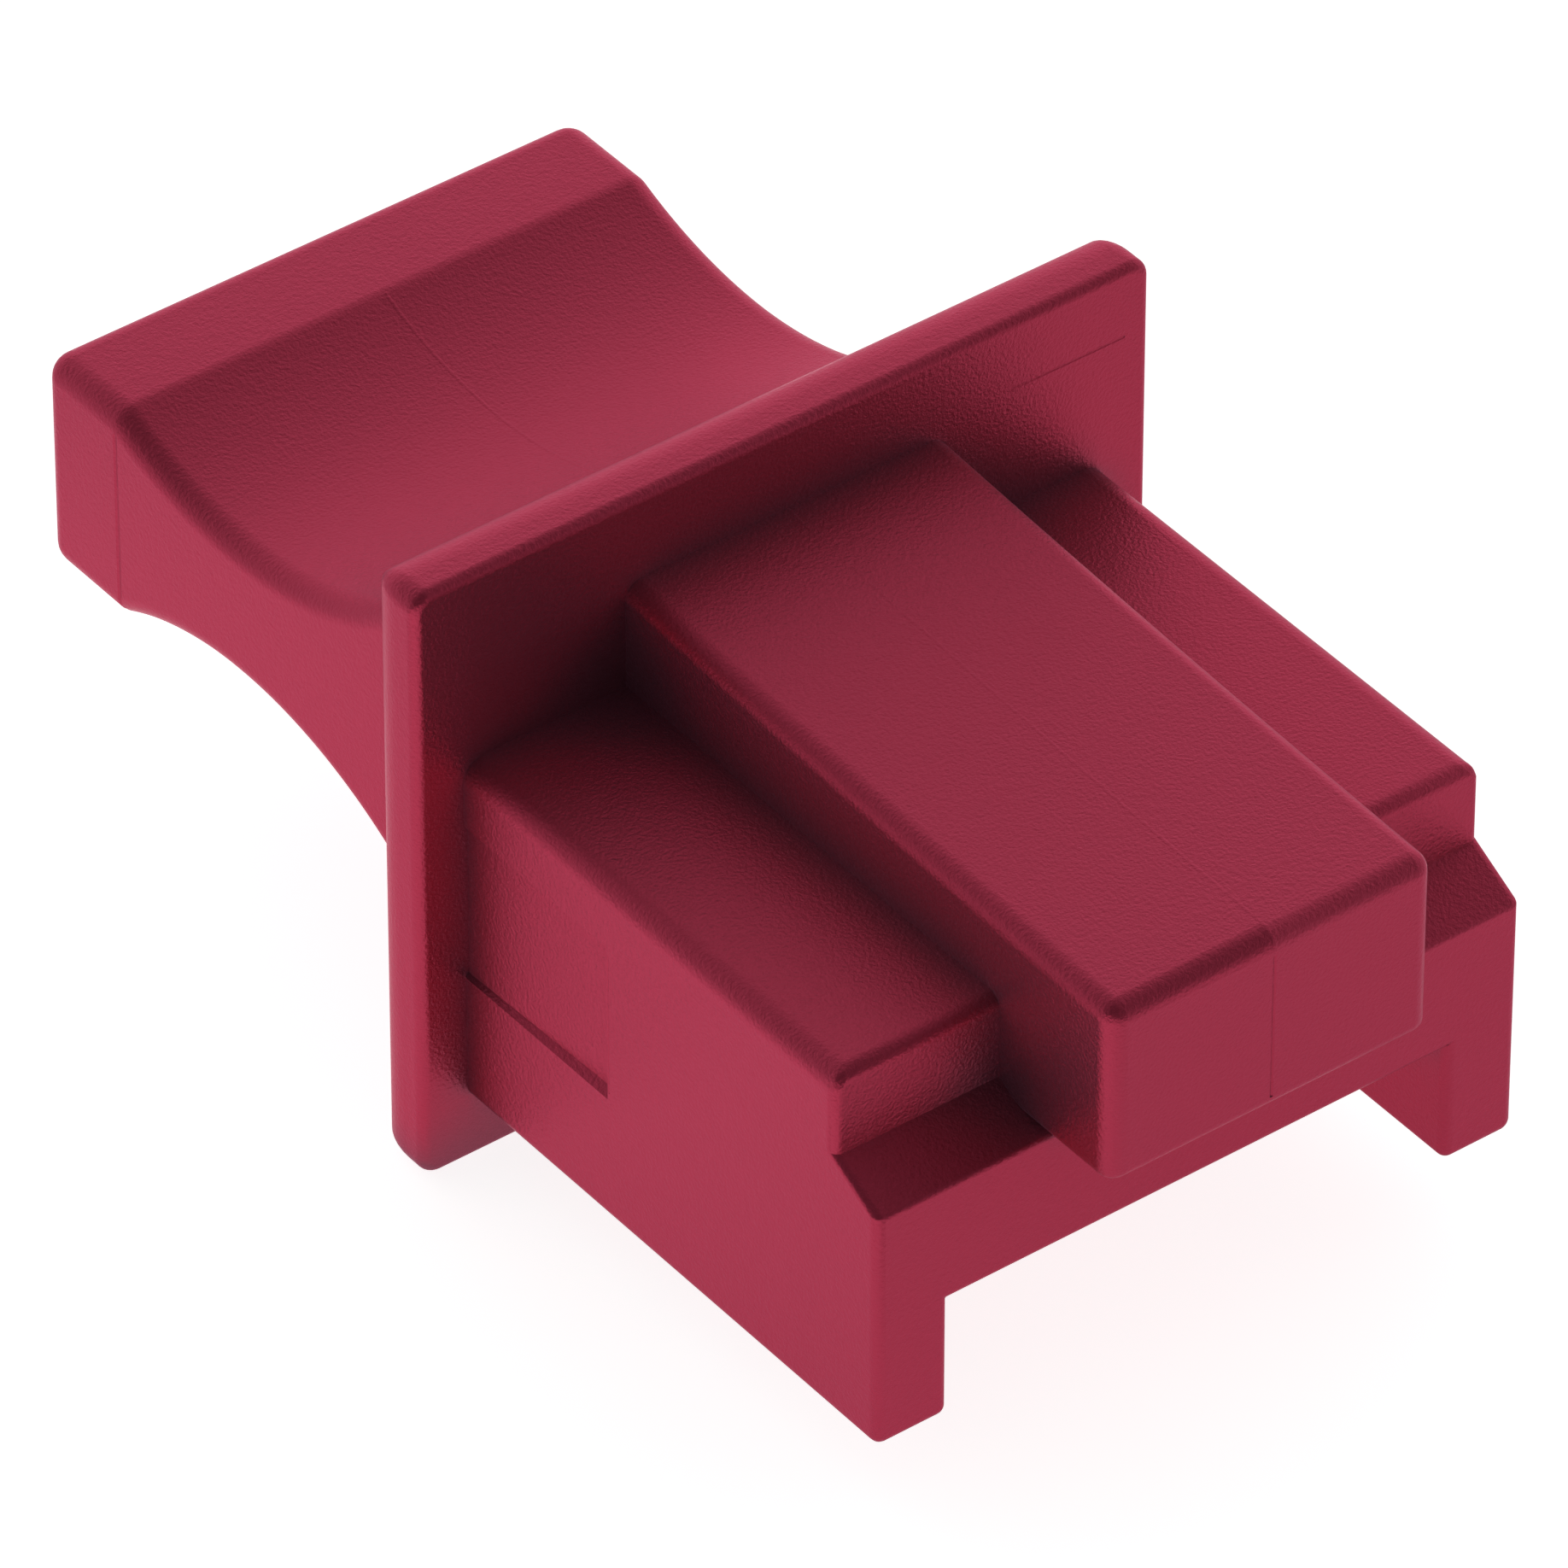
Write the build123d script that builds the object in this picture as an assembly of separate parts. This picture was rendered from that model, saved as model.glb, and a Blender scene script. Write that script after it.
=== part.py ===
"""Ethernet dust cover: a one-piece moulded plug that closes an empty eight-way modular jack.

The origin is the centre of the flange's seating face, the face that meets the jack.
The nose points along -Y into the jack, the grip along +Y, and the latch tongue is on
top (+Z). The cover is the same on both sides of X = 0. All lengths are in millimetres.
"""
import os

from build123d import *

# Flange: the thin plate that stops against the front of the jack.
flange_width = 13.25
flange_height = 10.74
flange_thickness = 1.08
flange_corner_radius = 0.34
flange_front_radius = 0.17
flange_back_radius = 0.45

# Plug body: the block that fills the jack's opening.
body_width = 11.6
body_reach = 9.69
shoulder_reach = 8.71
shoulder_top = 2.03
body_bottom = -4.19
shoulder_edge_radius = 0.40
shoulder_upright_radius = 0.20
slope_edge_radius = 0.10
front_edge_radius = 0.17

# Lead-in slope: from the foot of the shoulders down to the nose's front edge.
slope_foot = 0.57
nose_top = 0.04

# Open channel under the body, which leaves a leg on each side.
leg_thickness = 1.30
channel_height = 2.12
channel_corner_radius = 0.08
leg_outer_radius = 0.20
leg_inner_radius = 0.17

# Latch tongue on top of the body, which fills the jack's key slot.
tongue_width = 5.80
tongue_reach = 11.22
tongue_front_top = 3.36
tongue_rise_to_flange = 0.52
tongue_top_hollow = 0.065
tongue_bottom = 0.20
tongue_edge_radius = 0.32
tongue_bottom_radius = 0.20

# Shallow side recesses, each ending in a step that the jack's side spring snaps behind.
recess_reach = 3.40
recess_top = 0.74
recess_bottom = -1.81
recess_depth_at_flange = 0.06
recess_depth_at_step = 0.12

# Finger grip behind the flange: a scoop above and below, then an end block.
grip_width = 9.78
grip_top = 1.83
grip_bottom = -2.02
grip_reach = 11.70
waist_top = 1.24
waist_bottom = -1.29
top_scoop_middle = 7.04
bottom_scoop_middle = 6.79
flare_top = 4.70
flare_bottom = -4.38
end_block_length = 1.86
end_block_crease_radius = 0.25
grip_edge_radius = 0.40

# How far one form runs into the next, so that they join as one solid.
overlap = 0.4

# Lengths closer than this count as the same when edges are picked out.
same = 0.001


def side_profile(outline, width):
    """A YZ outline drawn out to the given width, half of it on each side of X = 0."""
    return extrude(make_face(Plane.YZ * outline), width / 2, both=True)


def block(width, y_low, y_high, z_low, z_high):
    """A box centred on X = 0 between the given Y and Z levels."""
    middle = Pos(0, (y_low + y_high) / 2, (z_low + z_high) / 2)
    return middle * Box(width, y_high - y_low, z_high - z_low)


def edges_at(part, side=None, y=None, z=None):
    """The edges whose middle lies at the given levels; side is its distance from X = 0."""
    chosen = []
    for edge in part.edges():
        middle = edge.center()
        pairs = ((side, abs(middle.X)), (y, middle.Y), (z, middle.Z))
        if all(wanted is None or abs(value - wanted) < same for wanted, value in pairs):
            chosen.append(edge)
    return chosen


def make_flange():
    """The plate, rounded a little round its front and more round its back."""
    plate = block(flange_width, 0, flange_thickness, -flange_height / 2, flange_height / 2)
    plate = fillet(edges_at(plate, side=flange_width / 2, y=flange_thickness / 2), flange_corner_radius)
    front = plate.faces().sort_by(Axis.Y)[0]
    plate = fillet(front.edges(), flange_front_radius)
    back = plate.faces().sort_by(Axis.Y)[-1]
    return fillet(back.edges(), flange_back_radius)


def make_body():
    """The shoulders, the slope and the nose, with the channel open below them."""
    outline = Polyline(
        (overlap, body_bottom),
        (-body_reach, body_bottom),
        (-body_reach, nose_top),
        (-shoulder_reach, slope_foot),
        (-shoulder_reach, shoulder_top),
        (overlap, shoulder_top),
        close=True,
    )
    body = side_profile(outline, body_width)
    inner_width = body_width - 2 * leg_thickness
    ceiling = body_bottom + channel_height
    body -= block(inner_width, -body_reach - overlap, 2 * overlap, body_bottom - overlap, ceiling)
    return round_body(body, body_width / 2, inner_width / 2, ceiling)


def round_body(body, outer, inner, ceiling):
    """Round the long edges first, then the rim of the nose's front, the uprights and the slope."""
    body = fillet(
        edges_at(body, side=outer, z=shoulder_top) + edges_at(body, y=-shoulder_reach, z=shoulder_top),
        shoulder_edge_radius,
    )
    body = fillet(edges_at(body, side=outer, z=body_bottom), leg_outer_radius)
    body = fillet(edges_at(body, side=inner, z=body_bottom), leg_inner_radius)
    body = fillet(edges_at(body, side=inner, z=ceiling), channel_corner_radius)
    rim = [edge for edge in edges_at(body, y=-body_reach) if edge.center().Z < nose_top - same]
    body = fillet(rim, front_edge_radius)
    body = fillet(edges_at(body, side=outer, y=-shoulder_reach), shoulder_upright_radius)
    slope = [
        edge
        for edge in edges_at(body, side=outer)
        if -body_reach < edge.center().Y < -shoulder_reach and nose_top < edge.center().Z < slope_foot
    ]
    return fillet(slope, slope_edge_radius)


def make_recesses():
    """The two shallow wedges to cut from the body's sides."""
    outer = body_width / 2
    outline = Polyline(
        (outer - recess_depth_at_flange, overlap),
        (outer - recess_depth_at_flange, 0),
        (outer - recess_depth_at_step, -recess_reach),
        (outer + overlap, -recess_reach),
        (outer + overlap, overlap),
        close=True,
    )
    right = Pos(0, 0, recess_bottom) * extrude(make_face(outline), recess_top - recess_bottom)
    return right + mirror(right, Plane.YZ)


def make_tongue():
    """The wedge that rises towards the flange, its top a little hollow, and reaches past the nose."""
    root_top = tongue_front_top + tongue_rise_to_flange
    middle_top = (tongue_front_top + root_top) / 2 - tongue_top_hollow
    tip, foot = (-tongue_reach, tongue_front_top), (-tongue_reach, tongue_bottom)
    outline = Curve() + [
        ThreePointArc(tip, (-tongue_reach / 2, middle_top), (0, root_top)),
        Polyline((0, root_top), (overlap, root_top), (overlap, tongue_bottom), foot, tip),
    ]
    tongue = side_profile(outline, tongue_width)
    ahead = [edge for edge in tongue.edges() if edge.center().Y < -same]
    upper = [edge for edge in ahead if edge.center().Z > tongue_bottom + same]
    tongue = fillet(upper, tongue_edge_radius)
    underside = [edge for edge in edges_at(tongue, z=tongue_bottom) if edge.center().Y < 0]
    return fillet(underside, tongue_bottom_radius)


def grip_section():
    """The grip's YZ section, with the creases before the end block softened."""
    crease = grip_reach - end_block_length
    inside = flange_thickness - overlap
    top_root, bottom_root = (flange_thickness, flare_top), (flange_thickness, flare_bottom)
    top_crease, bottom_crease = (crease, grip_top), (crease, grip_bottom)
    outline = Curve() + [
        Polyline(bottom_root, (inside, flare_bottom), (inside, flare_top), top_root),
        TangentArc((top_scoop_middle, waist_top), top_root, tangent=(-1, 0)),
        TangentArc((top_scoop_middle, waist_top), top_crease, tangent=(1, 0)),
        Polyline(top_crease, (grip_reach, grip_top), (grip_reach, grip_bottom), bottom_crease),
        TangentArc((bottom_scoop_middle, waist_bottom), bottom_crease, tangent=(1, 0)),
        TangentArc((bottom_scoop_middle, waist_bottom), bottom_root, tangent=(-1, 0)),
    ]
    section = make_face(Plane.YZ * outline)
    creases = [corner for corner in section.vertices() if abs(corner.Y - crease) < same]
    return fillet(creases, end_block_crease_radius)


def make_grip():
    """The grip, with its long edges and its rear edges rounded alike."""
    grip = extrude(grip_section(), grip_width / 2, both=True)
    side = edges_at(grip, side=grip_width / 2)
    rear = edges_at(grip, y=grip_reach)
    outer_edges = [edge for edge in side + rear if edge.center().Y > flange_thickness + same]
    return fillet(outer_edges, grip_edge_radius)


if __name__ == "__main__":
    plug = make_body() - make_recesses() + make_tongue()
    dust_cover = make_flange() + plug + make_grip()
    os.makedirs("parts", exist_ok=True)
    export_step(dust_cover, "parts/dust_cover.step")
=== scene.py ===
"""A moulded dust cover for an empty ethernet jack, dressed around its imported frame.

The cover is one piece of red plastic. Its forms are shaped in millimetres, joined into
one closed mesh and brought to metres, in the same frame as the solid: the origin is the
centre of the flange's seating face, the nose points along -Y and the tongue is on top.
"""
import logging
import math
from dataclasses import dataclass, field
from enum import Enum
from typing import Callable, Sequence

import bmesh
import bpy
from mathutils import Matrix, Vector


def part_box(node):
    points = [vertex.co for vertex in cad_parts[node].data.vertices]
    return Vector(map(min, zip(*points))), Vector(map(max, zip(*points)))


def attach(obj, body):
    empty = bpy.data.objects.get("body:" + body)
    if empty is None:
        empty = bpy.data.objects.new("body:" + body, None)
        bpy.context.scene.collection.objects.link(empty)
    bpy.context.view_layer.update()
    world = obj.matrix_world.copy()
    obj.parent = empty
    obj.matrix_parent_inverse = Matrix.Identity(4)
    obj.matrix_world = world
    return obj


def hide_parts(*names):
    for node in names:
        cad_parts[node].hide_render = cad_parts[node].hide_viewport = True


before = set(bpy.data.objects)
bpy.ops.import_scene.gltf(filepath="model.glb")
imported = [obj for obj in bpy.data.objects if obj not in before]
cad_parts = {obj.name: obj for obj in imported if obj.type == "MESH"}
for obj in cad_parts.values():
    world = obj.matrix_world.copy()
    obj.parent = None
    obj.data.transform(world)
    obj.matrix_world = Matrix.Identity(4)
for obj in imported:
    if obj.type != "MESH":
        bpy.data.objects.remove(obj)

log = logging.getLogger("dust_cover")

# One millimetre, in metres.
MM = 0.001
# Lengths closer than this count as the same, in millimetres.
SAME = 1e-4
# Edges that turn by more than this stay sharp.
SMOOTH_ANGLE = math.radians(24.0)
QUARTER = math.pi / 2
WHITE = (1.0, 1.0, 1.0, 1.0)

Point = tuple[float, float]
Colour = tuple[float, float, float, float]
EdgeTest = Callable[[Vector], bool]


class Join(Enum):
    """How one form meets another."""

    ADD = "UNION"
    CUT = "DIFFERENCE"


class Side(Enum):
    """The upper or the lower side of the grip, as the sign of Z."""

    TOP = 1
    BOTTOM = -1


@dataclass(frozen=True)
class Rounding:
    """A radius and the edges that it goes on.

    Attributes:
        radius: The rounding's radius in millimetres.
        where: A test of an edge's middle, in millimetres.
    """

    radius: float
    where: EdgeTest


class Form:
    """A closed mesh that is shaped in millimetres before it is joined to others."""

    def __init__(
        self, name: str, vertices: Sequence[Vector], faces: Sequence[Sequence[int]]
    ) -> None:
        """Make the mesh and its object.

        Args:
            name: The object's name.
            vertices: Corner points in millimetres.
            faces: Corner numbers of each face.
        """
        mesh = bpy.data.meshes.new(name)
        mesh.from_pydata([tuple(point) for point in vertices], [], [list(face) for face in faces])
        self.object = bpy.data.objects.new(name, mesh)
        bpy.context.scene.collection.objects.link(self.object)
        self.turn_outwards()

    @classmethod
    def across(cls, name: str, outline: Sequence[Point], width: float) -> "Form":
        """Draw a YZ outline out to both sides of X = 0.

        Args:
            name: The form's name.
            outline: The outline's (Y, Z) points in order.
            width: The full width along X.

        Returns:
            The closed form.
        """
        half = width / 2
        left = [Vector((-half, y, z)) for y, z in outline]
        right = [Vector((half, y, z)) for y, z in outline]
        return cls(name, left + right, prism_faces(len(outline)))

    @classmethod
    def upright(cls, name: str, outline: Sequence[Point], low: float, high: float) -> "Form":
        """Draw an XY outline up from one Z level to another.

        Args:
            name: The form's name.
            outline: The outline's (X, Y) points in order.
            low: The lower Z level.
            high: The upper Z level.

        Returns:
            The closed form.
        """
        below = [Vector((x, y, low)) for x, y in outline]
        above = [Vector((x, y, high)) for x, y in outline]
        return cls(name, below + above, prism_faces(len(outline)))

    def turn_outwards(self) -> None:
        """Make every face point out of the form."""
        work = bmesh.new()
        work.from_mesh(self.object.data)
        bmesh.ops.remove_doubles(work, verts=work.verts, dist=SAME)
        bmesh.ops.recalc_face_normals(work, faces=work.faces)
        work.to_mesh(self.object.data)
        work.free()

    def weld(self) -> None:
        """Merge the points that all but touch and drop the faces that this leaves empty."""
        work = bmesh.new()
        work.from_mesh(self.object.data)
        bmesh.ops.remove_doubles(work, verts=work.verts, dist=SAME)
        bmesh.ops.dissolve_degenerate(work, edges=work.edges, dist=SAME)
        work.to_mesh(self.object.data)
        work.free()

    def settle(self) -> None:
        """Turn what the modifiers give into the form's own plain mesh."""
        graph = bpy.context.evaluated_depsgraph_get()
        shaped = bpy.data.meshes.new_from_object(self.object.evaluated_get(graph))
        old = self.object.data
        self.object.modifiers.clear()
        self.object.data = shaped
        bpy.data.meshes.remove(old)

    def round_edges(self, roundings: Sequence[Rounding], segments: int = 8) -> "Form":
        """Round edges, each with its own radius, in one step.

        Args:
            roundings: The radii and the edges that they go on.
            segments: How many strips make a quarter turn.

        Returns:
            The same form.
        """
        widest = max(rounding.radius for rounding in roundings)
        mesh = self.object.data
        weights = mesh.attributes.new("bevel_weight_edge", "FLOAT", "EDGE")
        for edge in mesh.edges:
            middle = (mesh.vertices[edge.vertices[0]].co + mesh.vertices[edge.vertices[1]].co) / 2
            for rounding in roundings:
                if rounding.where(middle):
                    weights.data[edge.index].value = rounding.radius / widest
        bevel = self.object.modifiers.new("round", "BEVEL")
        bevel.limit_method = "WEIGHT"
        bevel.offset_type = "OFFSET"
        bevel.width = widest
        bevel.segments = segments
        bevel.use_clamp_overlap = False
        self.settle()
        return self

    def join(self, other: "Form", how: Join) -> "Form":
        """Add another form to this one, or cut it away.

        Args:
            other: The other form, which is used up.
            how: Whether it is added or cut away.

        Returns:
            The same form.
        """
        step = self.object.modifiers.new("join", "BOOLEAN")
        step.solver = "EXACT"
        step.operation = how.value
        step.object = other.object
        self.settle()
        bpy.data.objects.remove(other.object)
        return self


def prism_faces(count: int) -> list[list[int]]:
    """The faces between two outlines of the same number of points.

    Args:
        count: Points in each outline.

    Returns:
        The two ends and the sides, as corner numbers.
    """
    first = list(range(count))
    second = [count + number for number in reversed(first)]
    sides = [[i, (i + 1) % count, count + (i + 1) % count, count + i] for i in first]
    return [first, second] + sides


def near(value: float, level: float) -> bool:
    """Whether two lengths are the same."""
    return abs(value - level) < SAME


def arc_points(start: Point, end: Point, count: int) -> list[Point]:
    """Points on the arc that leaves its start level, along Y, and ends at another point.

    Args:
        start: The (Y, Z) point where the arc is level.
        end: The (Y, Z) point where the arc ends.
        count: How many steps the arc has.

    Returns:
        The points after the start, the end included.
    """
    y, z = start
    run, rise = end[0] - y, end[1] - z
    radius = (run * run + rise * rise) / (2 * rise)
    turn = math.atan2(run, radius - rise) if radius > 0 else math.atan2(-run, rise - radius)
    angles = [turn * step / count for step in range(1, count + 1)]
    return [(y + radius * math.sin(a), z + radius * (1 - math.cos(a))) for a in angles]


@dataclass
class Flange:
    """The thin plate that stops against the front of the jack, more rounded at its back.

    Attributes:
        width: Its size along X.
        height: Its size along Z.
        thickness: Its size along Y.
        corner_radius: The radius of its four corners.
        front_radius: The radius round its front face.
        back_run: How far the rounding at its back runs along Y.
        back_drop: How far that rounding draws its outline in.
        steps: Steps round a quarter turn.
    """

    width: float
    height: float
    thickness: float = 1.08
    corner_radius: float = 0.34
    front_radius: float = 0.17
    back_run: float = 0.65
    back_drop: float = 0.355
    steps: int = 8

    def sections(self) -> list[Point]:
        """The (Y, inset) of each section, from the front face to the back face."""
        quarter = [QUARTER * step / self.steps for step in range(self.steps + 1)]
        front = [
            (self.front_radius * (1 - math.sin(a)), self.front_radius * (1 - math.cos(a)))
            for a in reversed(quarter)
        ]
        back = [
            (self.thickness - self.back_run * (1 - math.sin(a)), self.back_drop * (1 - math.cos(a)))
            for a in quarter
        ]
        return front + back

    def ring(self, y: float, inset: float) -> list[Vector]:
        """The rounded rectangle of one section.

        Args:
            y: The section's place along Y.
            inset: How far it lies inside the plate's full outline.

        Returns:
            Its points, counted round the plate.
        """
        radius = max(self.corner_radius - inset, SAME)
        points = []
        for corner, (x_sign, z_sign) in enumerate(((1, 1), (-1, 1), (-1, -1), (1, -1))):
            centre_x = x_sign * (self.width / 2 - inset - radius)
            centre_z = z_sign * (self.height / 2 - inset - radius)
            for step in range(self.steps + 1):
                turn = QUARTER * (corner + step / self.steps)
                x, z = centre_x + radius * math.cos(turn), centre_z + radius * math.sin(turn)
                points.append(Vector((x, y, z)))
        return points

    def build(self) -> Form:
        """The plate as a skin over its sections."""
        rings = [self.ring(y, inset) for y, inset in self.sections()]
        count = len(rings[0])
        last = (len(rings) - 1) * count
        faces = [list(range(count)), [last + number for number in range(count)]]
        for start in range(0, last, count):
            above = start + count
            for number in range(count):
                following = (number + 1) % count
                faces.append([start + number, start + following, above + following, above + number])
        return Form("flange", [point for ring in rings for point in ring], faces)


@dataclass
class PlugBody:
    """The shoulders, the lead-in slope and the nose, over an open channel.

    Attributes:
        width: Its size along X.
        reach: How far the nose stands in front of the flange.
        shoulder_reach: How far the shoulders do.
        shoulder_top: The shoulders' upper level.
        bottom: The legs' lower level.
        slope_foot: The level where the lead-in slope meets the shoulders.
        nose_top: The level where it meets the nose's front.
        leg_thickness: How thick each leg beside the channel is.
        channel_height: How high the channel is.
        channel_corner_radius: The radius of the channel's upper corners.
        shoulder_radius: The radius of the shoulders' long upper edges.
        shoulder_front_radius: The radius of their upper edge at the front.
        upright_radius: The radius of their upright edges at the front.
        slope_radius: The radius of the lead-in slope's sides.
        front_radius: The radius round the nose's front, apart from its upper edge.
        nose_edge_radius: The radius of that upper edge.
        leg_outer_radius: The radius of the legs' lower outer edges.
        leg_inner_radius: The radius of the legs' lower inner edges.
        recess_reach: How far in front of the flange the side recesses end, in a step.
        recess_top: The recesses' upper level.
        recess_bottom: The recesses' lower level.
        recess_depth_at_flange: How deep they are at the flange.
        recess_depth_at_step: How deep they are at the step.
        recess_slope: How far their upper and lower faces open up over that depth.
        overlap: How far one form runs into the next.
    """

    width: float = 11.6
    reach: float = 9.69
    shoulder_reach: float = 8.71
    shoulder_top: float = 2.03
    bottom: float = -4.19
    slope_foot: float = 0.57
    nose_top: float = 0.04
    leg_thickness: float = 1.30
    channel_height: float = 2.12
    channel_corner_radius: float = 0.08
    shoulder_radius: float = 0.40
    shoulder_front_radius: float = 0.24
    upright_radius: float = 0.20
    slope_radius: float = 0.10
    front_radius: float = 0.17
    nose_edge_radius: float = 0.06
    leg_outer_radius: float = 0.20
    leg_inner_radius: float = 0.17
    recess_reach: float = 3.40
    recess_top: float = 0.74
    recess_bottom: float = -1.81
    recess_depth_at_flange: float = 0.06
    recess_depth_at_step: float = 0.12
    recess_slope: float = 0.13
    overlap: float = 0.4

    def outline(self) -> list[Point]:
        """The (Y, Z) outline, from the flange round the nose and back."""
        return [
            (self.overlap, self.bottom),
            (-self.reach, self.bottom),
            (-self.reach, self.nose_top),
            (-self.shoulder_reach, self.slope_foot),
            (-self.shoulder_reach, self.shoulder_top),
            (self.overlap, self.shoulder_top),
        ]

    def roundings(self) -> list[Rounding]:
        """The body's rounded edges, each with its radius."""
        outer = self.width / 2
        inner = outer - self.leg_thickness
        bottom, ceiling, top = self.bottom, self.bottom + self.channel_height, self.shoulder_top
        front, shoulder = -self.reach, -self.shoulder_reach
        low, high = self.nose_top, self.slope_foot
        return [
            Rounding(self.shoulder_radius, lambda m: near(abs(m.x), outer) and near(m.z, top)),
            Rounding(self.shoulder_front_radius, lambda m: near(m.y, shoulder) and near(m.z, top)),
            Rounding(self.leg_outer_radius, lambda m: near(abs(m.x), outer) and near(m.z, bottom)),
            Rounding(self.leg_inner_radius, lambda m: near(abs(m.x), inner) and near(m.z, bottom)),
            Rounding(
                self.channel_corner_radius, lambda m: near(abs(m.x), inner) and near(m.z, ceiling)
            ),
            Rounding(self.front_radius, lambda m: near(m.y, front) and m.z < low - SAME),
            Rounding(self.nose_edge_radius, lambda m: near(m.y, front) and near(m.z, low)),
            Rounding(self.upright_radius, lambda m: near(abs(m.x), outer) and near(m.y, shoulder)),
            Rounding(
                self.slope_radius,
                lambda m: near(abs(m.x), outer) and front < m.y < shoulder and low < m.z < high,
            ),
        ]

    def recess(self, side: int) -> Form:
        """One shallow side wedge to cut away.

        Args:
            side: -1 for the left, 1 for the right.

        Returns:
            The wedge.
        """
        outer = self.width / 2
        outside, root = side * (outer + self.overlap), side * (outer - self.recess_depth_at_flange)
        outline = [
            (root, self.overlap),
            (root, 0.0),
            (side * (outer - self.recess_depth_at_step), -self.recess_reach),
            (outside, -self.recess_reach),
            (outside, self.overlap),
        ]
        wedge = Form.upright("recess", outline, self.recess_bottom, self.recess_top)
        # The upper and lower faces open outwards, as a mould's draft does.
        wall = outer - self.recess_depth_at_step - SAME
        for vertex in wedge.object.data.vertices:
            spread = (abs(vertex.co.x) - wall) / self.recess_depth_at_step * self.recess_slope
            vertex.co.z += spread if vertex.co.z > 0 else -spread
        return wedge

    def build(self) -> Form:
        """The body with its channel, rounded edges and side recesses."""
        body = Form.across("plug_body", self.outline(), self.width)
        inner = self.width - 2 * self.leg_thickness
        floor, ceiling = self.bottom - self.overlap, self.bottom + self.channel_height
        front, back = -self.reach - self.overlap, 2 * self.overlap
        channel = [(front, floor), (back, floor), (back, ceiling), (front, ceiling)]
        body.join(Form.across("channel", channel, inner), Join.CUT)
        body.round_edges(self.roundings())
        for side in (-1, 1):
            body.join(self.recess(side), Join.CUT)
        return body


@dataclass
class Tongue:
    """The wedge that rises towards the flange and reaches out past the nose.

    Attributes:
        width: Its size along X.
        reach: How far it stands in front of the flange.
        front_top: Its upper level at the front.
        rise_to_flange: How much higher it is at the flange.
        top_hollow: How far its top sags in the middle.
        bottom: Its lower level.
        edge_radius: The radius of its upper edges and its front's upright ones.
        bottom_radius: The radius of its lower edges.
        overlap: How far it runs into the flange.
        top_steps: Steps along its top.
    """

    width: float = 5.80
    reach: float = 11.22
    front_top: float = 3.36
    rise_to_flange: float = 0.52
    top_hollow: float = 0.065
    bottom: float = 0.20
    edge_radius: float = 0.32
    bottom_radius: float = 0.20
    overlap: float = 0.4
    top_steps: int = 12

    def top_level(self, share: float) -> float:
        """The top's Z at a share of the way from the tip to the flange."""
        sag = 4 * self.top_hollow * share * (1 - share)
        return self.front_top + self.rise_to_flange * share - sag

    def build(self) -> Form:
        """The wedge with its hollow top and its rounded edges."""
        shares = [step / self.top_steps for step in range(self.top_steps + 1)]
        outline = [(self.overlap, self.bottom), (-self.reach, self.bottom)]
        outline += [(-self.reach * (1 - share), self.top_level(share)) for share in shares]
        outline.append((self.overlap, self.top_level(1.0)))
        outer, front, top = self.width / 2, -self.reach, self.front_top
        tongue = Form.across("tongue", outline, self.width)
        return tongue.round_edges(
            [
                Rounding(
                    self.edge_radius,
                    lambda m: near(abs(m.x), outer) and m.z > top - self.top_hollow,
                ),
                Rounding(self.edge_radius, lambda m: near(m.y, front) and near(m.z, top)),
                Rounding(self.edge_radius, lambda m: near(abs(m.x), outer) and near(m.y, front)),
                Rounding(
                    self.bottom_radius,
                    lambda m: near(m.z, self.bottom) and not near(m.y, self.overlap),
                ),
            ]
        )


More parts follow.
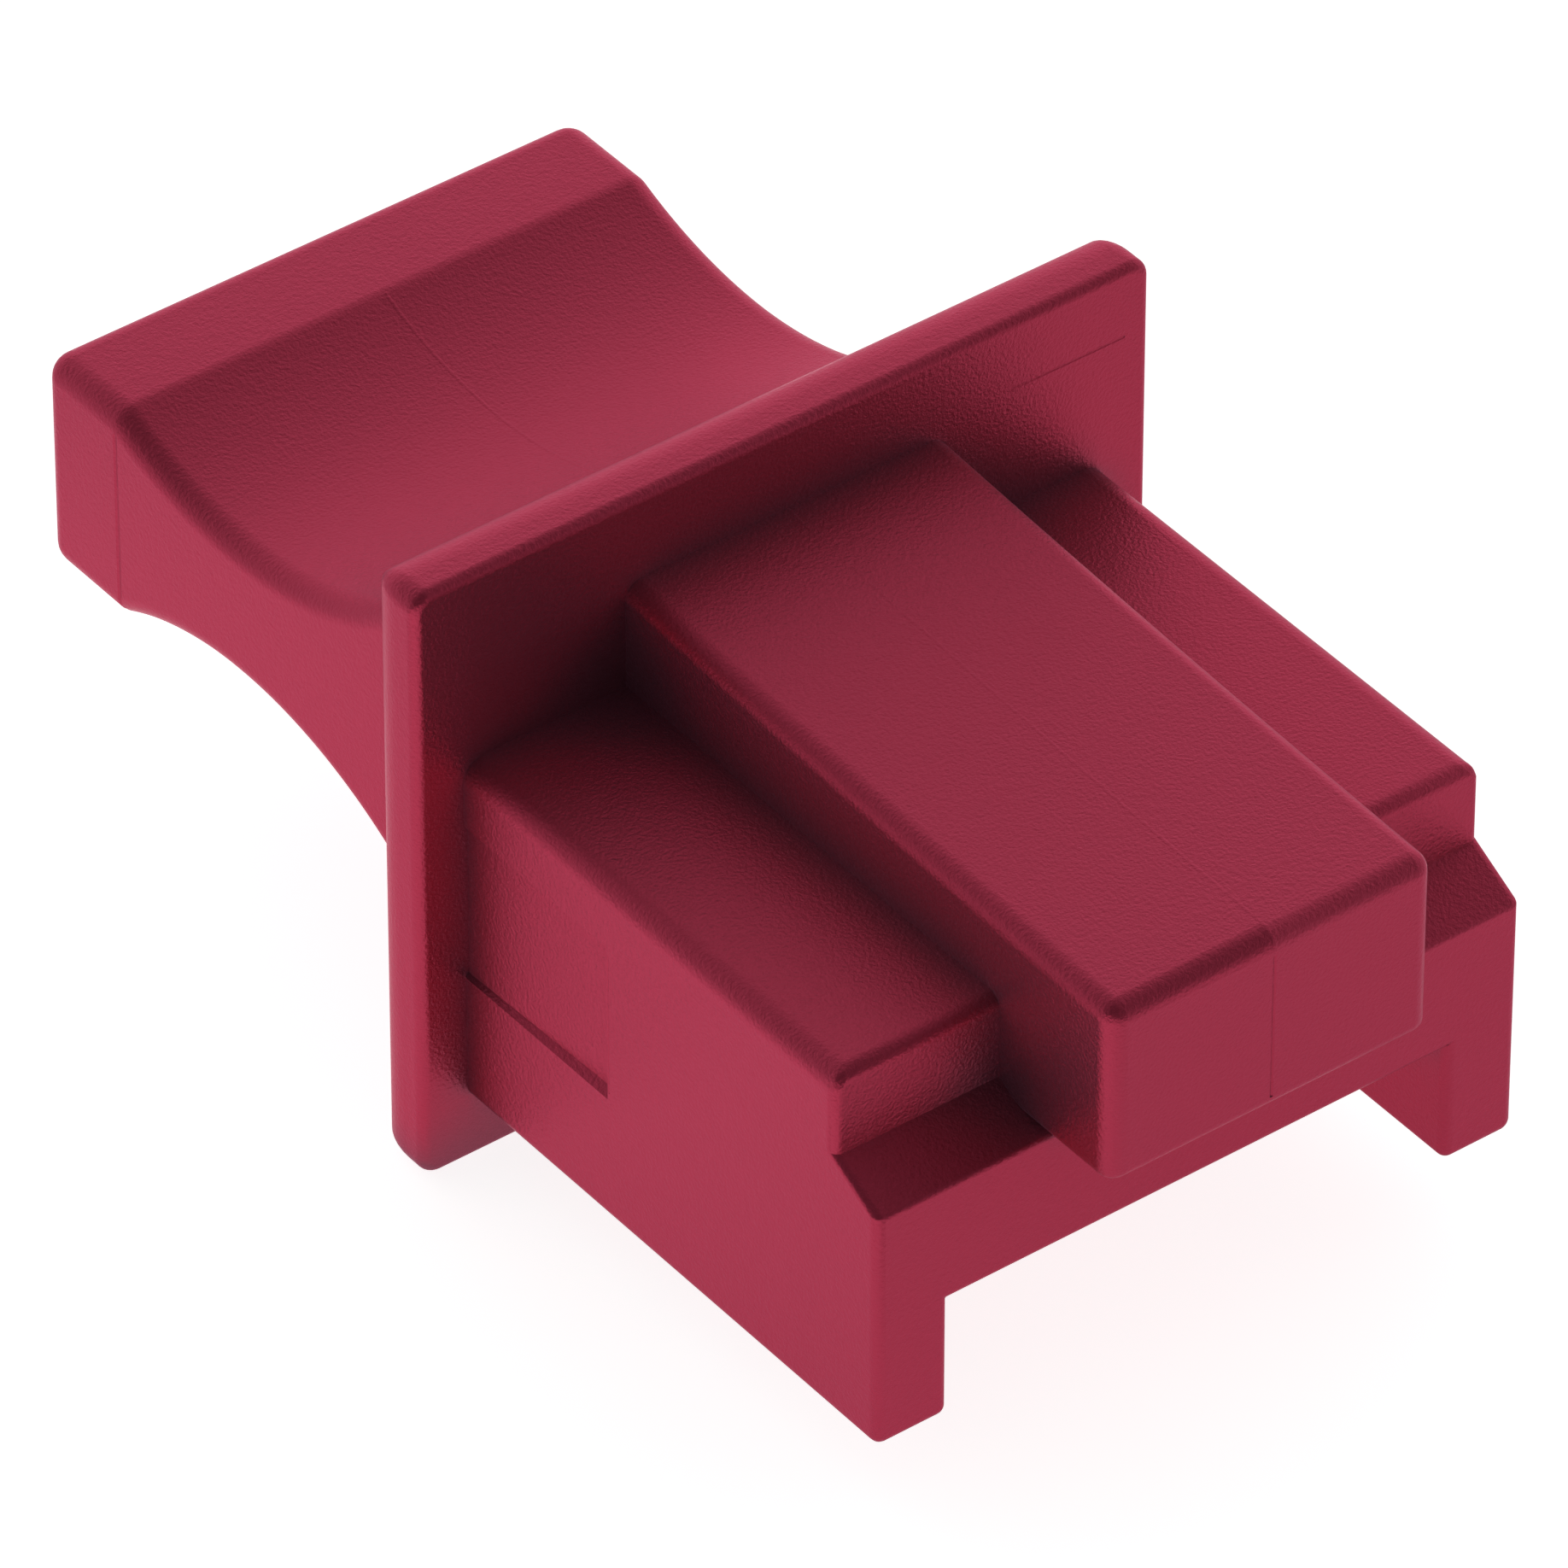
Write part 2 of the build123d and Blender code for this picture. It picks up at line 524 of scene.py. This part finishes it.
@dataclass
class Grip:
    """The finger grip: a scoop above and below, then the end block.

    Attributes:
        width: Its size along X.
        top: The end block's upper level.
        bottom: The end block's lower level.
        reach: How far it stands behind the flange's front.
        waist_top: The upper scoop's lowest level.
        waist_bottom: The lower scoop's highest level.
        top_middle: Where along Y the upper scoop is lowest.
        bottom_middle: Where along Y the lower scoop is highest.
        flare_top: The level where the upper scoop meets the flange.
        flare_bottom: The level where the lower scoop meets the flange.
        end_block_length: The end block's size along Y.
        crease_radius: The radius of the crease between the upper scoop and the end block.
        edge_radius: The radius of its long edges and its rear ones.
        root: Where along Y it leaves the flange.
        overlap: How far it runs into the flange.
        arc_steps: Steps along the part of each scoop that is nearer the flange.
        crease_steps: Steps round the crease.
    """

    width: float = 9.78
    top: float = 1.83
    bottom: float = -2.02
    reach: float = 11.70
    waist_top: float = 1.24
    waist_bottom: float = -1.29
    top_middle: float = 7.04
    bottom_middle: float = 6.79
    flare_top: float = 4.70
    flare_bottom: float = -4.38
    end_block_length: float = 1.86
    crease_radius: float = 0.5
    edge_radius: float = 0.40
    root: float = 1.08
    overlap: float = 0.4
    arc_steps: int = 40
    crease_steps: int = 4

    @property
    def crease(self) -> float:
        """Where the scoops meet the end block, along Y."""
        return self.reach - self.end_block_length

    def scoop(self, side: Side) -> list[Point]:
        """The (Y, Z) points of one side of the grip, from its rear to the flange.

        Args:
            side: The upper or the lower side.

        Returns:
            The points in order.
        """
        if side is Side.TOP:
            lowest = (self.top_middle, self.waist_top)
            rear, root = self.top, self.flare_top
        else:
            lowest = (self.bottom_middle, self.waist_bottom)
            rear, root = self.bottom, self.flare_bottom
        rearward = list(reversed(arc_points(lowest, (self.crease, rear), self.arc_steps // 2)))
        if side is Side.TOP:
            rearward = self.soften(rearward, rear)
        forward = arc_points(lowest, (self.root, root), self.arc_steps)
        return [(self.reach, rear)] + rearward + [lowest] + forward

    def soften(self, arc: list[Point], level: float) -> list[Point]:
        """Replace the crease at an arc's first point with a small curve.

        Args:
            arc: The points from the crease onwards.
            level: The end block's level beside the crease.

        Returns:
            The points with the crease softened.
        """
        turn = math.asin(abs(arc[1][1] - arc[0][1]) / math.dist(arc[0], arc[1]))
        reach = self.crease_radius * math.tan(turn / 2)
        kept = [point for point in arc if self.crease - point[0] > 2 * reach]
        along = reach / math.dist(arc[0], arc[1])
        end = tuple(a + along * (b - a) for a, b in zip(arc[0], arc[1]))
        # A quadratic curve from the end block, bent by the crease, to a point on the arc.
        ends = list(zip((self.crease + reach, level), arc[0], end))
        curve = []
        for step in range(self.crease_steps + 1):
            t = step / self.crease_steps
            s = 1 - t
            curve.append(tuple(s**2 * a + 2 * t * s * b + t * t * c for a, b, c in ends))
        return curve + kept

    def build(self) -> Form:
        """The grip with its long edges and rear edges rounded alike."""
        inside = self.root - self.overlap
        outline = self.scoop(Side.TOP) + [(inside, self.flare_top), (inside, self.flare_bottom)]
        outline += list(reversed(self.scoop(Side.BOTTOM)))
        grip = Form.across("grip", outline, self.width)
        half = self.width / 2
        return grip.round_edges(
            [
                Rounding(
                    self.edge_radius,
                    lambda m: near(abs(m.x), half) and m.y > self.root or near(m.y, self.reach),
                )
            ]
        )


@dataclass(frozen=True)
class LineSize:
    """The size of a mould line, in millimetres.

    Attributes:
        width: How wide the line shows.
        height: How far it stands proud of the surface, or goes in.
    """

    width: float
    height: float

    @property
    def radius(self) -> float:
        """The radius of the round bar that shows this width at this height."""
        return self.width * self.width / (8 * self.height) + self.height / 2


@dataclass
class MouldLine:
    """A fine shallow line that the mould leaves along a path on the surface, raised or sunk.

    Attributes:
        name: The line's name.
        path: Points on the surface, in millimetres.
        outward: The way out of the surface at each point, turned round for a sunk line.
        size: Its width and height.
        sides: How many sides its round section has.
    """

    name: str
    path: list[Vector]
    outward: list[Vector]
    size: LineSize
    sides: int = 48

    def centres(self) -> list[Vector]:
        """The middle of the bar at each point of the path."""
        depth = self.size.radius - self.size.height
        return [point - depth * way for point, way in zip(self.path, self.outward)]

    def tree(self) -> bpy.types.NodeTree:
        """A node tree that draws a round section along a path; its radius and finish are inputs."""
        tree = bpy.data.node_groups.new(self.name, "GeometryNodeTree")
        tree.interface.new_socket("Geometry", in_out="INPUT", socket_type="NodeSocketGeometry")
        tree.interface.new_socket("Radius", in_out="INPUT", socket_type="NodeSocketFloat")
        tree.interface.new_socket("Finish", in_out="INPUT", socket_type="NodeSocketMaterial")
        tree.interface.new_socket("Geometry", in_out="OUTPUT", socket_type="NodeSocketGeometry")
        names = {
            "given": "NodeGroupInput",
            "path": "GeometryNodeMeshToCurve",
            "section": "GeometryNodeCurvePrimitiveCircle",
            "draw": "GeometryNodeCurveToMesh",
            "real": "GeometryNodeRealizeInstances",
            "dress": "GeometryNodeSetMaterial",
            "made": "NodeGroupOutput",
        }
        nodes = {name: tree.nodes.new(kind) for name, kind in names.items()}
        nodes["section"].inputs["Resolution"].default_value = self.sides
        nodes["draw"].inputs["Fill Caps"].default_value = True
        links = tree.links
        links.new(nodes["given"].outputs["Geometry"], nodes["path"].inputs["Mesh"])
        links.new(nodes["given"].outputs["Radius"], nodes["section"].inputs["Radius"])
        links.new(nodes["path"].outputs["Curve"], nodes["draw"].inputs["Curve"])
        links.new(nodes["section"].outputs["Curve"], nodes["draw"].inputs["Profile Curve"])
        links.new(nodes["draw"].outputs["Mesh"], nodes["real"].inputs["Geometry"])
        links.new(nodes["real"].outputs["Geometry"], nodes["dress"].inputs["Geometry"])
        links.new(nodes["given"].outputs["Finish"], nodes["dress"].inputs["Material"])
        links.new(nodes["dress"].outputs["Geometry"], nodes["made"].inputs["Geometry"])
        return tree

    def build(self, finish: bpy.types.Material) -> Form:
        """The line as a thin closed round bar along its path.

        Args:
            finish: The material that it wears.

        Returns:
            The closed bar.
        """
        line = Form(self.name, self.centres(), [])
        line.object.data.edges.add(len(self.path) - 1)
        for number, edge in enumerate(line.object.data.edges):
            edge.vertices = (number, number + 1)
        step = line.object.modifiers.new("line", "NODES")
        step.node_group = self.tree()
        values = {"Radius": self.size.radius, "Finish": finish}
        for socket in step.node_group.interface.items_tree:
            if socket.in_out == "INPUT" and socket.name in values:
                step[socket.identifier] = values[socket.name]
        line.settle()
        line.turn_outwards()
        return line


@dataclass(frozen=True)
class RedPlastic:
    """Red moulded plastic with the fine grain of a spark-eroded mould, and painted shade that
    darkens its inner corners.

    Attributes:
        colour: The red on open faces.
        metallic: How much of the red is in the gloss.
        edge_tint: The tint of the gloss at a grazing angle.
        gloss: How strong the untinted gloss is.
        roughness: How blurred the gloss is.
        sheen: How strong the pale bloom is.
        sheen_roughness: How wide the bloom spreads.
        sheen_tint: The bloom's tint.
        grain: The size of the grain, in millimetres.
        grain_depth: How deep the grain is, in millimetres.
        grain_detail: How many finer layers the grain has.
        grain_roughness: How strong the finer layers are.
        painted_shade_colour: The darker red painted into the inner corners as shade.
        painted_shade_reach: How far off a face counts as shading a corner for the painted shade, in
            millimetres.
        painted_shade_open: The openness where the painted shade starts to fade and where it is
            gone.
        painted_shade_samples: How many rays measure the openness for the painted shade.
    """

    colour: Colour = (0.50, 0.038, 0.082, 1.0)
    metallic: float = 0.68
    edge_tint: Colour = (1.0, 0.40, 0.50, 1.0)
    gloss: float = 0.15
    roughness: float = 0.24
    sheen: float = 0.25
    sheen_roughness: float = 0.6
    sheen_tint: Colour = (0.95, 0.60, 0.90, 1.0)
    grain: float = 0.06
    grain_depth: float = 0.018
    grain_detail: float = 4.0
    grain_roughness: float = 0.6
    # Painted shade: a darker red that the base colour takes in the inner corners, where shade
    # falls.
    painted_shade_colour: Colour = (0.25, 0.064, 0.096, 1.0)
    painted_shade_reach: float = 1.9
    painted_shade_open: tuple[float, float] = (0.42, 0.82)
    painted_shade_samples: int = 12

    def material(self) -> bpy.types.Material:
        """The finish as a node material on Object coordinates."""
        made = bpy.data.materials.new("red_plastic")
        made.use_nodes = True
        nodes, links = made.node_tree.nodes, made.node_tree.links
        shader = nodes["Principled BSDF"]
        links.new(self.red_with_painted_shade(nodes, links), shader.inputs["Base Color"])
        shader.inputs["Metallic"].default_value = self.metallic
        shader.inputs["Roughness"].default_value = self.roughness
        shader.inputs["Specular IOR Level"].default_value = self.gloss
        shader.inputs["Specular Tint"].default_value = self.edge_tint
        shader.inputs["Sheen Weight"].default_value = self.sheen
        shader.inputs["Sheen Roughness"].default_value = self.sheen_roughness
        shader.inputs["Sheen Tint"].default_value = self.sheen_tint
        place = nodes.new("ShaderNodeTexCoord")
        grain = nodes.new("ShaderNodeTexNoise")
        grain.inputs["Scale"].default_value = 1.0 / (self.grain * MM)
        grain.inputs["Detail"].default_value = self.grain_detail
        grain.inputs["Roughness"].default_value = self.grain_roughness
        links.new(place.outputs["Object"], grain.inputs["Vector"])
        bump = nodes.new("ShaderNodeBump")
        bump.inputs["Strength"].default_value = 1.0
        bump.inputs["Distance"].default_value = self.grain_depth * MM
        links.new(grain.outputs["Fac"], bump.inputs["Height"])
        links.new(bump.outputs["Normal"], shader.inputs["Normal"])
        return made

    def red_with_painted_shade(
        self, nodes: bpy.types.Nodes, links: bpy.types.NodeLinks
    ) -> bpy.types.NodeSocket:
        """The red, darkened by painted shade in the inner corners.

        Args:
            nodes: The nodes to add to.
            links: The links to add to.

        Returns:
            The socket that gives the colour.
        """
        # Painted shade: ambient occlusion darkens the base colour towards a deeper red in inner
        # corners and creases.
        openness = nodes.new("ShaderNodeAmbientOcclusion")
        openness.samples = self.painted_shade_samples
        openness.inputs["Distance"].default_value = self.painted_shade_reach * MM
        share = nodes.new("ShaderNodeMapRange")
        share.interpolation_type = "SMOOTHSTEP"
        for end, level in zip(("From Min", "From Max"), self.painted_shade_open):
            share.inputs[end].default_value = level
        links.new(openness.outputs["AO"], share.inputs["Value"])
        blend = nodes.new("ShaderNodeMix")
        blend.data_type = "RGBA"
        links.new(share.outputs["Result"], blend.inputs["Factor"])
        corner, open_face = (end for end in blend.inputs if end.type == "RGBA")
        corner.default_value, open_face.default_value = self.painted_shade_colour, self.colour
        return next(end for end in blend.outputs if end.type == "RGBA")


@dataclass
class DustCover:
    """The whole cover: one moulded piece.

    Attributes:
        flange: The plate.
        body: The plug body.
        tongue: The latch tongue.
        grip: The finger grip.
        finish: The plastic.
        scoop_ridge: The raised line over the grip's upper scoop.
        tongue_ridge: The raised line over the tongue's top.
        grip_groove: The sunk line on the grip's sides.
        recess_groove: The sunk line at each recess's end.
        flange_groove: The sunk line on the flange's front.
        tongue_groove: The sunk line on the tongue's front.
        flange_line: Where the flange's line starts and ends, as (X, Z).
        recess_gap: How far in front of the recess's step its line runs.
        front_gap: How far below the tongue's top its front line starts, in edge radii.
        ridge_steps: Steps along the tongue's top.
        bend_steps: Steps round a quarter turn.
        foot_margin: How close to a ridge's foot an edge counts as part of it, in millimetres.
        face_weight: How much more a large face counts in the shading.
    """

    flange: Flange
    body: PlugBody = field(default_factory=PlugBody)
    tongue: Tongue = field(default_factory=Tongue)
    grip: Grip = field(default_factory=Grip)
    finish: RedPlastic = field(default_factory=RedPlastic)
    scoop_ridge: LineSize = LineSize(0.07, 0.005)
    tongue_ridge: LineSize = LineSize(0.07, 0.003)
    grip_groove: LineSize = LineSize(0.10, 0.016)
    recess_groove: LineSize = LineSize(0.03, 0.005)
    flange_groove: LineSize = LineSize(0.045, 0.008)
    tongue_groove: LineSize = LineSize(0.06, 0.014)
    flange_line: tuple[Point, Point] = ((4.07, 4.13), (6.15, 4.13))
    recess_gap: float = 0.03
    front_gap: float = 1.2
    ridge_steps: int = 12
    bend_steps: int = 6
    foot_margin: float = 0.004
    face_weight: int = 100

    def ridges(self) -> list[MouldLine]:
        """The raised lines that the mould's halves leave on the centre plane."""
        scoop = [(y, z) for y, z in self.grip.scoop(Side.TOP) if y < self.grip.crease]
        reach, radius = self.tongue.reach, self.tongue.edge_radius
        steps = range(self.ridge_steps + 1)
        levels = [-(reach - radius) * step / self.ridge_steps for step in steps]
        over = [(y, self.tongue.top_level(1 + y / reach)) for y in levels]
        front, top = over[-1]
        turns = [QUARTER * step / self.bend_steps for step in range(1, self.bend_steps + 1)]
        bend = [(front - radius * math.sin(a), top - radius * (1 - math.cos(a))) for a in turns]
        return [
            self.on_centre("scoop_ridge", scoop, self.scoop_ridge),
            self.on_centre("tongue_ridge", over + bend, self.tongue_ridge),
        ]

    def on_centre(self, name: str, outline: Sequence[Point], size: LineSize) -> MouldLine:
        """A raised line along the centre plane's outline.

        Args:
            name: The line's name.
            outline: The surface's (Y, Z) points, running forwards with the outside above.
            size: The line's width and height.

        Returns:
            The line.
        """
        outward = []
        for number in range(len(outline)):
            before, after = outline[max(number - 1, 0)], outline[min(number + 1, len(outline) - 1)]
            outward.append(Vector((0, after[1] - before[1], before[0] - after[0])).normalized())
        return MouldLine(name, [Vector((0, y, z)) for y, z in outline], outward, size)

    def grooves(self) -> list[MouldLine]:
        """All the sunk lines."""
        sides = [line for side in (-1, 1) for line in self.side_grooves(side)]
        return sides + self.front_grooves()

    def side_grooves(self, side: int) -> list[MouldLine]:
        """The sunk lines of one side: at the grip's crease and at the recess's end.

        Args:
            side: -1 for the left, 1 for the right.

        Returns:
            The two lines.
        """
        half, radius, crease = self.grip.width / 2, self.grip.edge_radius, self.grip.crease
        low, high = self.grip.bottom + radius, self.grip.top - radius
        turns = [QUARTER * step / self.bend_steps for step in range(self.bend_steps + 1)]
        inward = [Vector((-side * math.cos(a), 0, math.sin(a))) for a in turns]
        middle = Vector((side * (half - radius), crease, low))
        path = [Vector((side * half, crease, high))] + [middle - radius * way for way in inward]
        body = self.body
        wall = Vector((side * body.width / 2, -body.recess_reach - self.recess_gap, 0))
        ends = [wall + Vector((0, 0, level)) for level in (body.recess_top, body.recess_bottom)]
        return [
            MouldLine("grip_groove", path, inward[:1] + inward, self.grip_groove),
            MouldLine("recess_groove", ends, inward[:1] * 2, self.recess_groove),
        ]

    def front_grooves(self) -> list[MouldLine]:
        """The sunk lines on the faces that look forwards: the flange's and the tongue's."""
        backward = [Vector((0, 1, 0))] * 2
        across = [Vector((x, 0.0, z)) for x, z in self.flange_line]
        tongue = self.tongue
        lowest = tongue.bottom + tongue.bottom_radius
        highest = tongue.front_top - self.front_gap * tongue.edge_radius
        down = [Vector((0, -tongue.reach, level)) for level in (lowest, highest)]
        return [
            MouldLine("flange_groove", across, backward, self.flange_groove),
            MouldLine("tongue_groove", down, backward, self.tongue_groove),
        ]

    def build(self) -> bpy.types.Object:
        """Join the forms, bring them to metres and dress the piece.

        Returns:
            The finished piece, in the frame of the solid.
        """
        whole = self.flange.build()
        for part in (self.body, self.tongue, self.grip):
            whole.join(part.build(), Join.ADD)
            log.info("joined %s", type(part).__name__)
        red = self.finish.material()
        for line in self.grooves():
            whole.join(line.build(red), Join.CUT)
        for line in self.ridges():
            whole.join(line.build(red), Join.ADD)
        whole.weld()
        piece = whole.object
        piece.name = "cover"
        piece.data.name = "cover"
        piece.data.transform(Matrix.Scale(MM, 4))
        self.shade(whole)
        piece.data.materials.clear()
        piece.data.materials.append(red)
        return piece

    def shade(self, whole: Form) -> None:
        """Shade the roundings smoothly and keep the flat faces and the ridges' feet crisp.

        Args:
            whole: The joined form, in metres.
        """
        mesh = whole.object.data
        mesh.shade_smooth()
        mesh.set_sharp_from_angle(angle=SMOOTH_ANGLE)
        feet = [line.size.width / 2 * MM for line in self.ridges()]
        margin = self.foot_margin * MM
        for edge in mesh.edges:
            ends = [abs(mesh.vertices[number].co.x) for number in edge.vertices]
            if any(max(abs(end - foot) for end in ends) < margin for foot in feet):
                edge.use_edge_sharp = True
        normals = whole.object.modifiers.new("normals", "WEIGHTED_NORMAL")
        normals.keep_sharp = True
        normals.weight = self.face_weight
        whole.settle()


@dataclass
class Camera:
    """The camera at the photograph's viewing angle.

    Attributes:
        azimuth: The angle round the cover, in degrees, with 0 in front of the nose.
        elevation: The angle above the floor, in degrees.
        roll: The turn round the line of sight, in degrees.
        place: Where the camera stands, in metres.
        lens: The focal length, in millimetres.
        sensor: The sensor's width, in millimetres.
        clip: The nearest and farthest distance seen, in metres.
    """

    azimuth: float = -37.3289
    elevation: float = 39.1204
    roll: float = -0.0552
    place: tuple[float, float, float] = (-0.110872, -0.145320, 0.147453)
    lens: float = 372.45
    sensor: float = 36.0
    clip: tuple[float, float] = (0.01, 20.0)

    def build(self) -> bpy.types.Object:
        """Make the camera and give it to the scene.

        Returns:
            The camera's object.
        """
        around, above, roll = map(math.radians, (self.azimuth, self.elevation, self.roll))
        level = math.cos(above)
        back = Vector((math.sin(around) * level, -math.cos(around) * level, math.sin(above)))
        right = (-back).cross(Vector((0, 0, 1))).normalized()
        down = (-back).cross(right)
        across = math.cos(roll) * right + math.sin(roll) * down
        downward = -math.sin(roll) * right + math.cos(roll) * down
        turn = Matrix((across, -downward, back)).transposed().to_4x4()
        data = bpy.data.cameras.new("camera")
        data.lens = self.lens
        data.sensor_width = self.sensor
        data.clip_start, data.clip_end = self.clip
        camera = bpy.data.objects.new("camera", data)
        camera.matrix_world = Matrix.Translation(self.place) @ turn
        bpy.context.scene.collection.objects.link(camera)
        bpy.context.scene.camera = camera
        return camera


@dataclass
class Studio:
    """A plain pale floor, soft light from behind and a white background.

    Attributes:
        floor_level: The floor's height, in metres.
        towards_camera: The direction from the cover to the camera.
        floor_size: The floor's width, in metres.
        floor_colour: The floor's grey level.
        floor_glow: What the floor adds for the camera, so that it shows white.
        bright_towards: The direction in which the floor brightens in reflections.
        floor_stops: The glow in reflections at distances that way, in metres.
        light_stops: The sky's brightness by how far a direction turns to the camera.
    """

    floor_level: float
    towards_camera: Vector
    floor_size: float = 1.2
    floor_colour: float = 0.8
    floor_glow: float = 0.85
    bright_towards: tuple[float, float, float] = (-0.7, 0.7, 0.0)
    floor_stops: tuple[Point, ...] = (
        (-0.040, 0.15),
        (-0.024, 0.58),
        (-0.014, 0.57),
        (0.006, 0.90),
        (0.017, 0.90),
        (0.024, 0.45),
    )
    light_stops: tuple[Point, ...] = (
        (-0.9, 1.45),
        (-0.2, 0.66),
        (0.1, 0.55),
        (0.3, 0.36),
        (0.45, 0.27),
        (0.6, 0.20),
        (1.0, 0.12),
    )

    def build_floor(self) -> bpy.types.Object:
        """Lay the floor under the cover.

        Returns:
            The floor's object.
        """
        half = self.floor_size / 2
        corners = [(-half, -half), (half, -half), (half, half), (-half, half)]
        mesh = bpy.data.meshes.new("floor")
        mesh.from_pydata([(x, y, self.floor_level) for x, y in corners], [], [(0, 1, 2, 3)])
        floor = bpy.data.objects.new("floor", mesh)
        bpy.context.scene.collection.objects.link(floor)
        mesh.materials.append(self.floor_material())
        return floor

    def floor_material(self) -> bpy.types.Material:
        """A matt pale floor that the camera and reflections see as white."""
        made = bpy.data.materials.new("pale_floor")
        made.use_nodes = True
        nodes, links = made.node_tree.nodes, made.node_tree.links
        nodes.clear()
        matt = nodes.new("ShaderNodeBsdfDiffuse")
        matt.inputs["Color"].default_value = (self.floor_colour,) * 3 + (1.0,)
        glow = nodes.new("ShaderNodeEmission")
        links.new(self.floor_light(nodes, links), glow.inputs["Strength"])
        both = nodes.new("ShaderNodeAddShader")
        links.new(matt.outputs["BSDF"], both.inputs[0])
        links.new(glow.outputs["Emission"], both.inputs[1])
        mix = nodes.new("ShaderNodeMixShader")
        links.new(background_rays(nodes, links), mix.inputs["Fac"])
        links.new(matt.outputs["BSDF"], mix.inputs[1])
        links.new(both.outputs["Shader"], mix.inputs[2])
        output = nodes.new("ShaderNodeOutputMaterial")
        links.new(mix.outputs["Shader"], output.inputs["Surface"])
        return made

    def floor_light(
        self, nodes: bpy.types.Nodes, links: bpy.types.NodeLinks
    ) -> bpy.types.NodeSocket:
        """The floor's glow: even for the camera, graded from place to place in reflections.

        Args:
            nodes: The nodes to add to.
            links: The links to add to.

        Returns:
            The socket that gives the glow's strength.
        """
        place = nodes.new("ShaderNodeTexCoord")
        along = nodes.new("ShaderNodeVectorMath")
        along.operation = "DOT_PRODUCT"
        along.inputs[1].default_value = self.bright_towards
        links.new(place.outputs["Object"], along.inputs[0])
        reflected = graded(nodes, links, along.outputs["Value"], self.floor_stops)
        path = nodes.new("ShaderNodeLightPath")
        chosen = nodes.new("ShaderNodeMix")
        links.new(path.outputs["Is Camera Ray"], chosen.inputs["Factor"])
        links.new(reflected, chosen.inputs["A"])
        chosen.inputs["B"].default_value = self.floor_glow
        return chosen.outputs["Result"]

    def build_world(self) -> None:
        """Light the cover from a sky that fades from the back to the camera's side."""
        world = bpy.data.worlds.new("studio")
        bpy.context.scene.world = world
        world.use_nodes = True
        nodes, links = world.node_tree.nodes, world.node_tree.links
        place = nodes.new("ShaderNodeTexCoord")
        facing = nodes.new("ShaderNodeVectorMath")
        facing.operation = "DOT_PRODUCT"
        facing.inputs[1].default_value = self.towards_camera
        links.new(place.outputs["Generated"], facing.inputs[0])
        light = graded(nodes, links, facing.outputs["Value"], self.light_stops)
        sky = nodes["Background"]
        sky.inputs["Color"].default_value = WHITE
        links.new(light, sky.inputs["Strength"])


def graded(
    nodes: bpy.types.Nodes,
    links: bpy.types.NodeLinks,
    value: bpy.types.NodeSocket,
    stops: Sequence[Point],
) -> bpy.types.NodeSocket:
    """A brightness that changes smoothly with a value.

    Args:
        nodes: The nodes to add to.
        links: The links to add to.
        value: The socket that gives the value.
        stops: The (value, brightness) pairs in order.

    Returns:
        The socket that gives the brightness.
    """
    first, last = stops[0][0], stops[-1][0]
    brightest = max(light for _, light in stops)
    share = nodes.new("ShaderNodeMapRange")
    share.inputs["From Min"].default_value = first
    share.inputs["From Max"].default_value = last
    links.new(value, share.inputs["Value"])
    ramp = nodes.new("ShaderNodeValToRGB")
    made = ramp.color_ramp.elements
    ready = len(made)
    for number, (place, light) in enumerate(stops):
        stop = made[number] if number < ready else made.new(1.0)
        stop.position = (place - first) / (last - first)
        stop.color = (light / brightest,) * 3 + (1.0,)
    links.new(share.outputs["Result"], ramp.inputs["Fac"])
    strength = nodes.new("ShaderNodeMath")
    strength.operation = "MULTIPLY"
    links.new(ramp.outputs["Color"], strength.inputs[0])
    strength.inputs[1].default_value = brightest
    return strength.outputs["Value"]


def background_rays(nodes: bpy.types.Nodes, links: bpy.types.NodeLinks) -> bpy.types.NodeSocket:
    """A socket that is 1 for what the camera sees straight or in a reflection.

    Args:
        nodes: The nodes to add to.
        links: The links to add to.

    Returns:
        The socket.
    """
    path = nodes.new("ShaderNodeLightPath")
    found = path.outputs["Is Camera Ray"]
    for name in ("Is Glossy Ray", "Is Transmission Ray"):
        either = nodes.new("ShaderNodeMath")
        either.operation = "MAXIMUM"
        links.new(found, either.inputs[0])
        links.new(path.outputs[name], either.inputs[1])
        found = either.outputs["Value"]
    return found


def main() -> None:
    """Build the cover, its studio and its camera, and report each piece."""
    logging.basicConfig(level=logging.INFO, format="%(name)s: %(message)s")
    bpy.context.scene.view_settings.view_transform = "Standard"
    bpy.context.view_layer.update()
    low, high = (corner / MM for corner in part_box("dust_cover"))
    cover = DustCover(flange=Flange(width=high.x - low.x, height=high.z - low.z)).build()
    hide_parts("dust_cover")
    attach(cover, "root")
    log.info("cover: %d faces", len(cover.data.polygons))
    camera = Camera().build()
    studio = Studio(floor_level=low.z * MM, towards_camera=camera.matrix_world.col[2].to_3d())
    studio.build_floor()
    studio.build_world()


if __name__ == "__main__":
    main()
